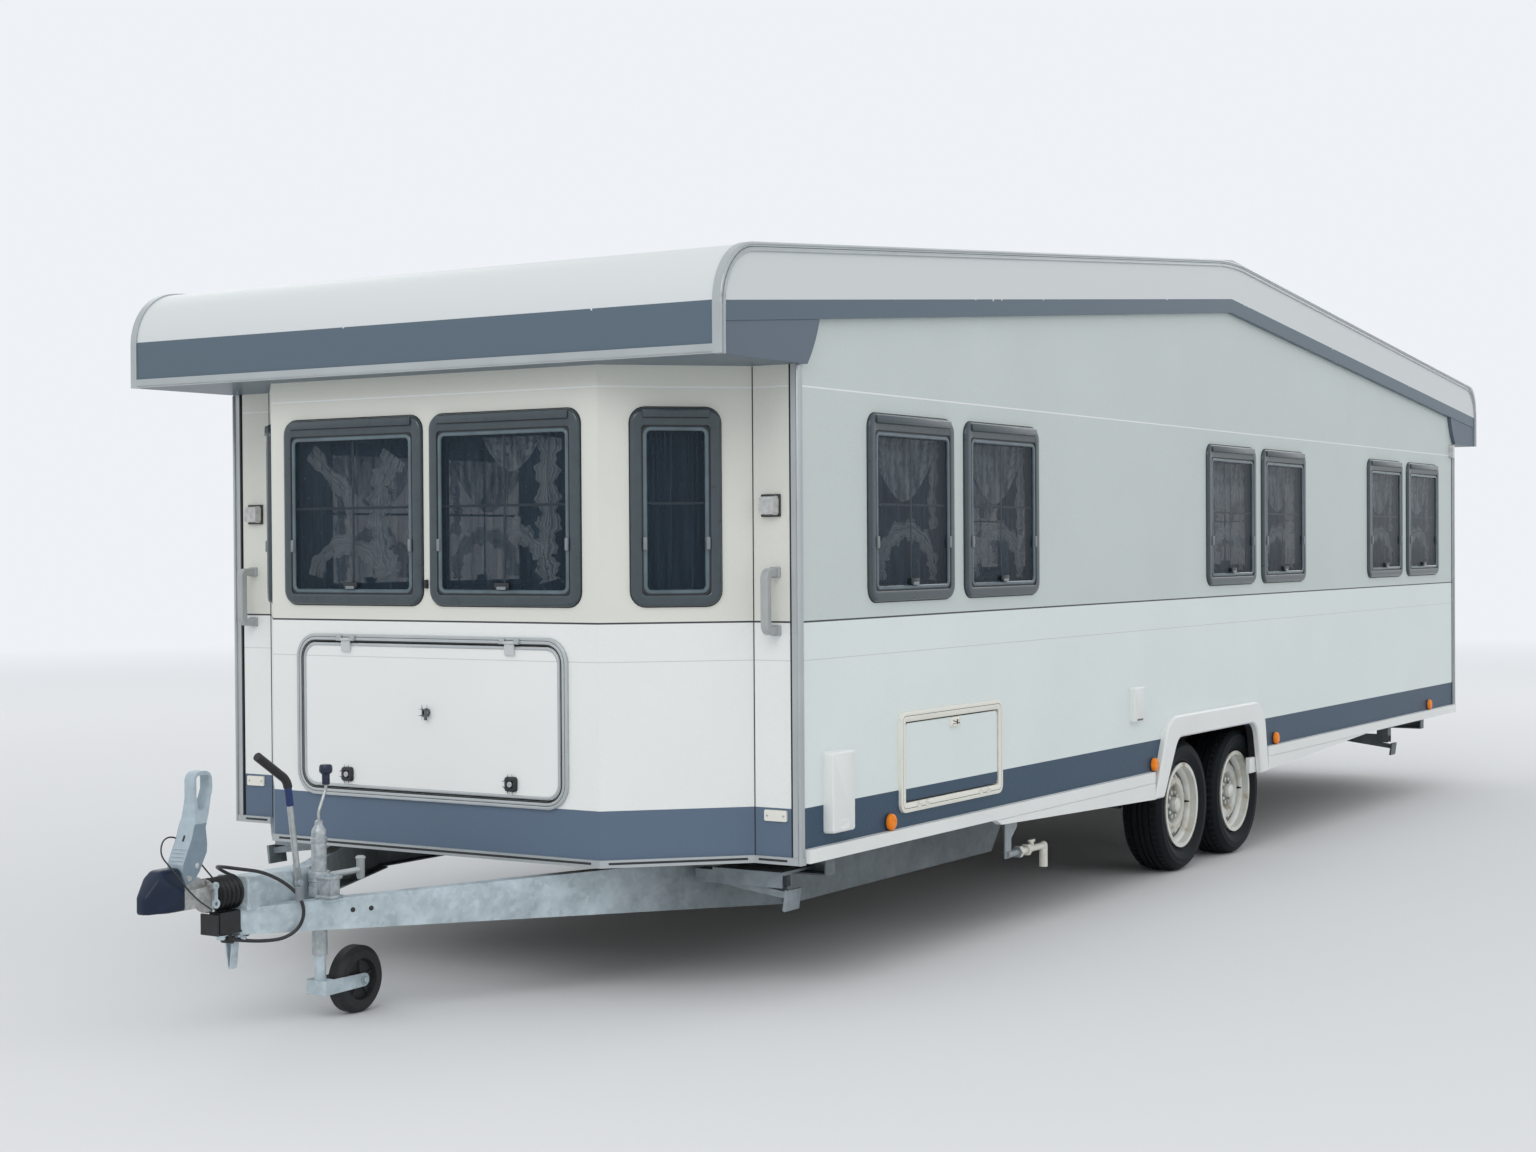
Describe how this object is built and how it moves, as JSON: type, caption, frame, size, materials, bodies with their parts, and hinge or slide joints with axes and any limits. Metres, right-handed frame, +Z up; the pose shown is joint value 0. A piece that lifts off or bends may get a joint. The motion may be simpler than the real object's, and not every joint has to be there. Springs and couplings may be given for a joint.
{
  "type": "travel caravan",
  "caption": "Touring caravan with twin axles, folded-bay ends, framed windows with net curtains, gas locker, steadies, jockey wheel and ball coupling.",
  "frame": {"origin": "on the ground, below the middle of the whole length and width", "axes": "+X forward to the coupling, +Y to the left side, +Z up"},
  "size_m": [9.707, 2.575, 2.791],
  "materials": {
    "white_panel": "satin",
    "warm_grey_panel": "hammered",
    "roof_white": "satin",
    "floor_board": "satin",
    "bare_aluminium": "satin",
    "blue_grey_plastic": "satin",
    "white_plastic": "satin",
    "grey_plastic": "satin",
    "cream_plastic": "satin",
    "acrylic": "clear",
    "net_cloth": "woven",
    "orange_lens": "clear",
    "clear_lens": "clear",
    "red_lens": "clear",
    "galvanised": "dull",
    "grey_casting": "painted",
    "black_plastic": "matt",
    "black_rubber": "matt",
    "navy_plastic": "satin",
    "light_blue_plastic": "satin",
    "wheel_silver": "satin",
    "tyre_rubber": "matt",
    "wire_green": "satin"
  },
  "bodies": {
    "caravan": {"aluminium_trims": "bare_aluminium", "bellows": "black_rubber", "breakaway_cable": "wire_green", "cable_clip": "galvanised", "chassis": "galvanised", "coupling_head": "grey_casting", "curtains": "net_cloth", "drain_valve": "cream_plastic", "drawbar": "galvanised", "electric_lead": "black_rubber", "fascia_brackets": "blue_grey_plastic", "floor": "floor_board", "front_axle": "galvanised", "front_wall": "warm_grey_panel", "gas_locker_bulkhead": "white_panel", "grab_handles": "white_plastic", "hatch_rims": "cream_plastic", "jockey_clamp": "galvanised", "lead_plug": "black_plastic", "left_wall": "warm_grey_panel", "marker_lamps": "clear_lens", "nose_cap": "navy_plastic", "overrun_housing": "grey_casting", "plug_holder": "black_plastic", "rear_axle": "galvanised", "rear_lamps": "red_lens", "rear_wall": "warm_grey_panel", "reflector_plates": "cream_plastic", "right_wall": "warm_grey_panel", "roof": "roof_white", "roof_fascias": "roof_white", "roof_fittings": "white_plastic", "side_covers": "white_plastic", "side_lamps": "orange_lens", "side_skirts": "white_plastic", "steady_brackets": "galvanised", "wheel_arch_spats": "white_plastic", "window_frames": "grey_plastic", "window_panes": "acrylic"},
    "front_left_wheel": {"front_left_tyre": "tyre_rubber", "front_left_rim": "wheel_silver"},
    "front_right_wheel": {"front_right_tyre": "tyre_rubber", "front_right_rim": "wheel_silver"},
    "rear_left_wheel": {"rear_left_tyre": "tyre_rubber", "rear_left_rim": "wheel_silver"},
    "rear_right_wheel": {"rear_right_tyre": "tyre_rubber", "rear_right_rim": "wheel_silver"},
    "jockey_tube": {"jockey_tube": "galvanised"},
    "jockey_leg": {"jockey_leg": "galvanised"},
    "jockey_wheel": {"jockey_wheel": "black_rubber"},
    "coupling_handle": {"coupling_handle": "light_blue_plastic"},
    "handbrake_lever": {"handbrake_lever": "galvanised"},
    "gas_locker_lid": {"gas_locker_lid": "white_panel"},
    "service_hatch_lid": {"service_hatch_lid": "white_panel"},
    "entrance_door": {"entrance_door": "warm_grey_panel", "door_pane": "acrylic"},
    "front_left_steady": {"front_left_steady": "galvanised"},
    "front_right_steady": {"front_right_steady": "galvanised"},
    "rear_left_steady": {"rear_left_steady": "galvanised"},
    "rear_right_steady": {"rear_right_steady": "galvanised"}
  },
  "joints": [
    {"name": "front_left_wheel_spin", "type": "hinge", "parent": "caravan", "child": "front_left_wheel", "pos_m": [-0.22, 1.11, 0.297], "axis": [0, 1, 0], "continuous": true},
    {"name": "front_right_wheel_spin", "type": "hinge", "parent": "caravan", "child": "front_right_wheel", "pos_m": [-0.22, -1.11, 0.297], "axis": [0, 1, 0], "continuous": true},
    {"name": "rear_left_wheel_spin", "type": "hinge", "parent": "caravan", "child": "rear_left_wheel", "pos_m": [-0.89, 1.11, 0.297], "axis": [0, 1, 0], "continuous": true},
    {"name": "rear_right_wheel_spin", "type": "hinge", "parent": "caravan", "child": "rear_right_wheel", "pos_m": [-0.89, -1.11, 0.297], "axis": [0, 1, 0], "continuous": true},
    {"name": "jockey_tube_slide", "type": "slide", "parent": "caravan", "child": "jockey_tube", "axis": [0, 0, 1], "range_m": [0, 0.06]},
    {"name": "jockey_leg_swivel", "type": "hinge", "parent": "jockey_tube", "child": "jockey_leg", "pos_m": [4.2, 0.095, 0.1], "axis": [0, 0, 1], "continuous": true},
    {"name": "jockey_wheel_spin", "type": "hinge", "parent": "jockey_leg", "child": "jockey_wheel", "pos_m": [4.04, 0.095, 0.107], "axis": [0, 1, 0], "continuous": true},
    {"name": "coupling_handle_turn", "type": "hinge", "parent": "caravan", "child": "coupling_handle", "pos_m": [4.689, 0, 0.504], "axis": [0, -1, 0], "range_deg": [0, 50]},
    {"name": "handbrake_turn", "type": "hinge", "parent": "caravan", "child": "handbrake_lever", "pos_m": [4.262, 0.068, 0.44], "axis": [0, 1, 0], "range_deg": [0, 45]},
    {"name": "gas_locker_lid_turn", "type": "hinge", "parent": "caravan", "child": "gas_locker_lid", "pos_m": [3.577, 0, 1.1645], "axis": [0, -1, 0], "range_deg": [0, 90]},
    {"name": "service_hatch_turn", "type": "hinge", "parent": "caravan", "child": "service_hatch_lid", "pos_m": [2.139, 1.266, 0.5705], "axis": [-1, 0, 0], "range_deg": [0, 90]},
    {"name": "entrance_door_turn", "type": "hinge", "parent": "caravan", "child": "entrance_door", "pos_m": [1.015, -1.266, 1.3975], "axis": [0, 0, 1], "range_deg": [0, 150]},
    {"name": "front_left_steady_turn", "type": "hinge", "parent": "caravan", "child": "front_left_steady", "pos_m": [3.1, 0.815, 0.372], "axis": [-1, 0, 0], "range_deg": [0, 72]},
    {"name": "front_right_steady_turn", "type": "hinge", "parent": "caravan", "child": "front_right_steady", "pos_m": [3.1, -0.815, 0.372], "axis": [1, 0, 0], "range_deg": [0, 72]},
    {"name": "rear_left_steady_turn", "type": "hinge", "parent": "caravan", "child": "rear_left_steady", "pos_m": [-3.9, 0.7, 0.312], "axis": [-1, 0, 0], "range_deg": [0, 42]},
    {"name": "rear_right_steady_turn", "type": "hinge", "parent": "caravan", "child": "rear_right_steady", "pos_m": [-3.9, -0.7, 0.312], "axis": [1, 0, 0], "range_deg": [0, 42]}
  ]
}
